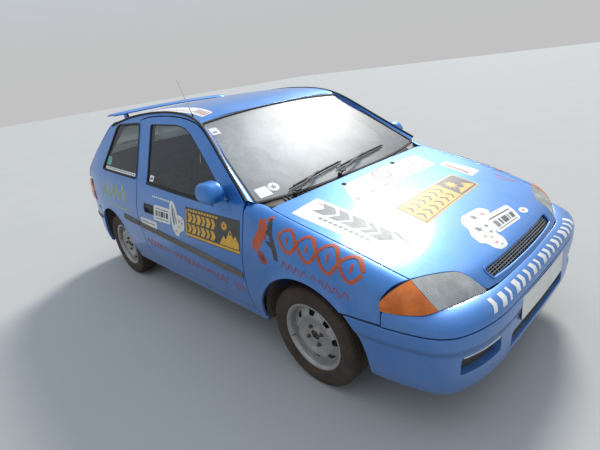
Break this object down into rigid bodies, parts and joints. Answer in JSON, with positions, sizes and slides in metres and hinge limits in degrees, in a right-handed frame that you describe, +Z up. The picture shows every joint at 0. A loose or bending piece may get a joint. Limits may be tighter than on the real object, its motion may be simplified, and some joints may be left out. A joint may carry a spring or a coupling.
{
  "type": "rally car",
  "caption": "Small three-door hatchback rally car with opening doors, bonnet and tailgate, steered front wheels and free-rolling wheels.",
  "frame": {"origin": "on the ground, below the middle of the overall box", "axes": "+X to the front of the car, +Y to its left, +Z up"},
  "size_m": [3.745, 1.744, 1.5353],
  "materials": {
    "body_paint": "metallic blue paint, sun-dulled and dusty",
    "dark_trim": "black grained plastic, dusty",
    "silver_grille": "silver-painted plastic",
    "clear_glass": "clear",
    "lamp_clear": "clear lens, a little yellowed",
    "lamp_amber": "amber lens",
    "lamp_red": "red lens",
    "plate_white": "blank white plate",
    "plate_yellow": "blank yellow plate",
    "underbody": "sealed underbody, dusty",
    "cast_metal": "rough cast",
    "steel_dark": "black-painted steel, rusty at edges",
    "pipe_steel": "weathered steel pipe",
    "aluminium": "fin stack",
    "seat_cloth": "woven grey-blue seat cloth",
    "dash_plastic": "dark grey moulded plastic",
    "wheel_steel": "silver-painted steel, dusty",
    "tyre": "black rubber under brown dust"
  },
  "bodies": {
    "car_body": {"floor_pan": "underbody", "bulkhead": "underbody", "inner_wings": "underbody", "rear_wheelhouses": "underbody", "front_panel": "underbody", "driveshafts": "steel_dark", "body_sides": "body_paint", "roof_panel": "body_paint", "front_fenders": "body_paint", "cowl_panel": "dark_trim", "windscreen": "clear_glass", "quarter_glasses": "clear_glass", "front_bumper": "body_paint", "rear_bumper": "body_paint", "rear_panel": "body_paint", "headlights": "lamp_clear", "indicators": "lamp_amber", "tail_lamps": "lamp_red", "front_plate": "plate_white", "engine_block": "cast_metal", "radiator": "aluminium", "exhaust": "pipe_steel", "fuel_tank": "steel_dark", "front_subframe": "steel_dark", "rear_suspension": "steel_dark", "front_seats": "seat_cloth", "rear_seat": "seat_cloth", "dashboard": "dash_plastic", "wipers": "dark_trim", "antenna": "dark_trim"},
    "bonnet_lid": {"bonnet": "body_paint", "grille": "silver_grille"},
    "door_leaf_right": {"door_right": "body_paint", "door_glass_right": "clear_glass", "mirror_right": "body_paint"},
    "door_leaf_left": {"door_left": "body_paint", "door_glass_left": "clear_glass", "mirror_left": "body_paint"},
    "tailgate_lid": {"tailgate": "body_paint", "tailgate_glass": "clear_glass", "spoiler": "body_paint", "rear_plate": "plate_yellow"},
    "steering_wheel_turning": {"steering_wheel": "dash_plastic"},
    "knuckle_right": {"front_strut_right": "steel_dark"},
    "knuckle_left": {"front_strut_left": "steel_dark"},
    "wheel_front_right": {"rim_front_right": "wheel_steel", "tyre_front_right": "tyre"},
    "wheel_front_left": {"rim_front_left": "wheel_steel", "tyre_front_left": "tyre"},
    "wheel_rear_right": {"rim_rear_right": "wheel_steel", "tyre_rear_right": "tyre"},
    "wheel_rear_left": {"rim_rear_left": "wheel_steel", "tyre_rear_left": "tyre"}
  },
  "joints": [
    {"name": "steer_left", "type": "hinge", "parent": "car_body", "child": "knuckle_left", "pos_m": [1.08, 0.64, 0.19], "axis": [0, -0.1699, 0.9855], "range_deg": [-32, 32]},
    {"name": "steer_right", "type": "hinge", "parent": "car_body", "child": "knuckle_right", "pos_m": [1.08, -0.64, 0.19], "axis": [0, 0.1699, 0.9855], "range_deg": [-32, 32]},
    {"name": "steering_wheel_turn", "type": "hinge", "parent": "car_body", "child": "steering_wheel_turning", "pos_m": [0.262, -0.37, 0.822], "axis": [-0.9135, 0, 0.4067], "range_deg": [-545, 545]},
    {"name": "bonnet_hinge", "type": "hinge", "parent": "car_body", "child": "bonnet_lid", "pos_m": [0.79, 0, 0.897], "axis": [0, -1, 0], "range_deg": [0, 52]},
    {"name": "door_right_hinge", "type": "hinge", "parent": "car_body", "child": "door_leaf_right", "pos_m": [0.74, -0.785, 0.6], "axis": [0, 0, 1], "range_deg": [0, 66]},
    {"name": "door_left_hinge", "type": "hinge", "parent": "car_body", "child": "door_leaf_left", "pos_m": [0.74, 0.785, 0.6], "axis": [0, 0, -1], "range_deg": [0, 66]},
    {"name": "tailgate_hinge", "type": "hinge", "parent": "car_body", "child": "tailgate_lid", "pos_m": [-1.058, 0, 1.316], "axis": [0, 1, 0], "range_deg": [0, 78]},
    {"name": "wheel_spin_front_right", "type": "hinge", "parent": "knuckle_right", "child": "wheel_front_right", "pos_m": [1.08, -0.682, 0.2735], "axis": [0, 1, 0], "continuous": true},
    {"name": "wheel_spin_front_left", "type": "hinge", "parent": "knuckle_left", "child": "wheel_front_left", "pos_m": [1.08, 0.682, 0.2735], "axis": [0, 1, 0], "continuous": true},
    {"name": "wheel_spin_rear_right", "type": "hinge", "parent": "car_body", "child": "wheel_rear_right", "pos_m": [-1.185, -0.67, 0.2735], "axis": [0, 1, 0], "continuous": true},
    {"name": "wheel_spin_rear_left", "type": "hinge", "parent": "car_body", "child": "wheel_rear_left", "pos_m": [-1.185, 0.67, 0.2735], "axis": [0, 1, 0], "continuous": true}
  ],
  "couplings": [
    {"joint": "steer_right", "follows": "steer_left", "ratio": 1},
    {"joint": "steering_wheel_turn", "follows": "steer_left", "ratio": 17}
  ]
}
